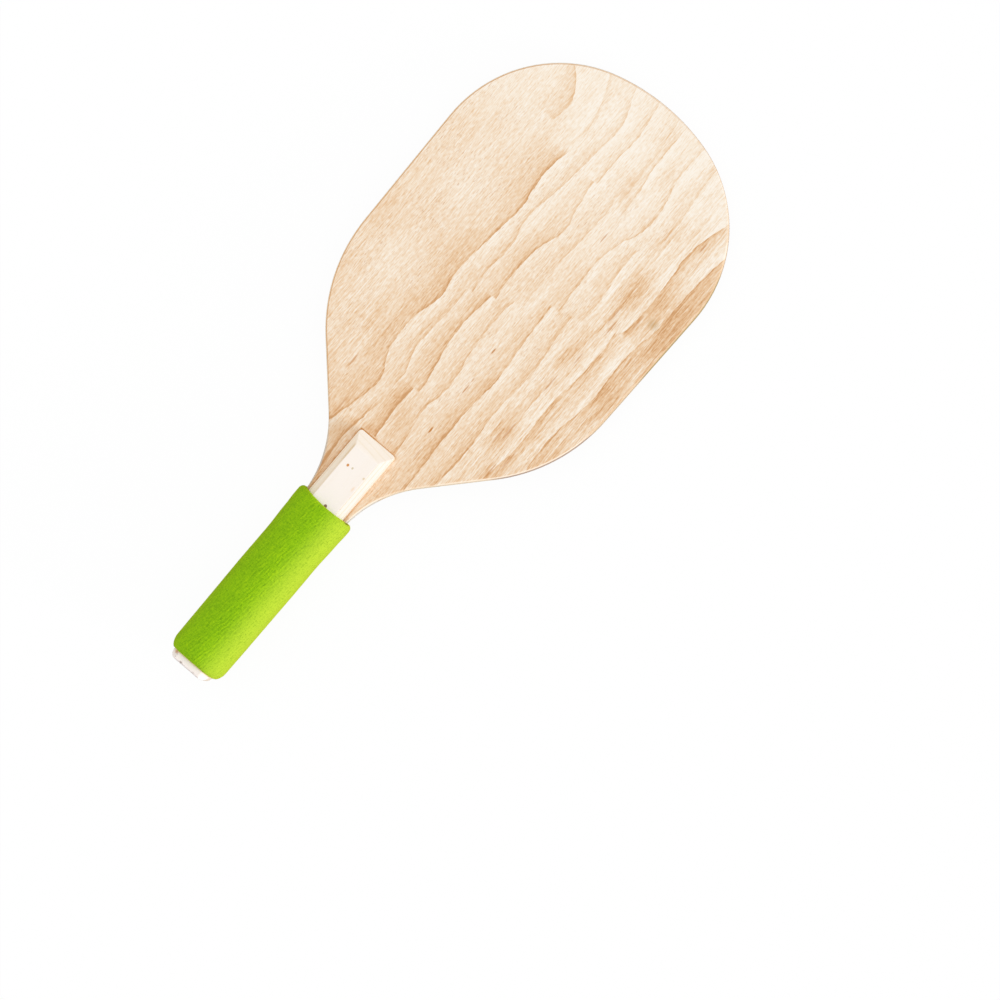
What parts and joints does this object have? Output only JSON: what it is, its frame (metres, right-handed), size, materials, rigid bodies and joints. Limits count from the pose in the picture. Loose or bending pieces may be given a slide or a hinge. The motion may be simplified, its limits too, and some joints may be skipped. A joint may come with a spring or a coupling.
{
  "type": "frescobol racket",
  "caption": "Wooden frescobol (beach tennis) racket: laminated plywood blade whose tang runs through the handle, a pale wood cheek on each side of it and a lime foam tube as grip.",
  "frame": {"origin": "centre of the butt's end face, on the handle's axis", "axes": "+X from the butt to the tip of the head, +Z square to the blade and out of its front face, +Y across the blade"},
  "size_m": [0.44, 0.1916, 0.037],
  "materials": {
    "beech_face": "smooth sanded beech veneer, unvarnished, with short flecks and darker growth-ring bands along the blade",
    "crossband": "sawn veneer whose end grain shows round the rim",
    "beech_core": "sanded veneer edge",
    "cheek_wood": "smooth pale close-grained wood, unvarnished",
    "grip_foam": "matte lime-green foam with fine lengthwise wrinkles"
  },
  "bodies": {
    "root": {"front_face_veneer": "beech_face", "front_crossband": "crossband", "core_veneer": "beech_core", "back_crossband": "crossband", "back_face_veneer": "beech_face", "front_cheek": "cheek_wood", "back_cheek": "cheek_wood", "foam_grip": "grip_foam"}
  },
  "joints": []
}
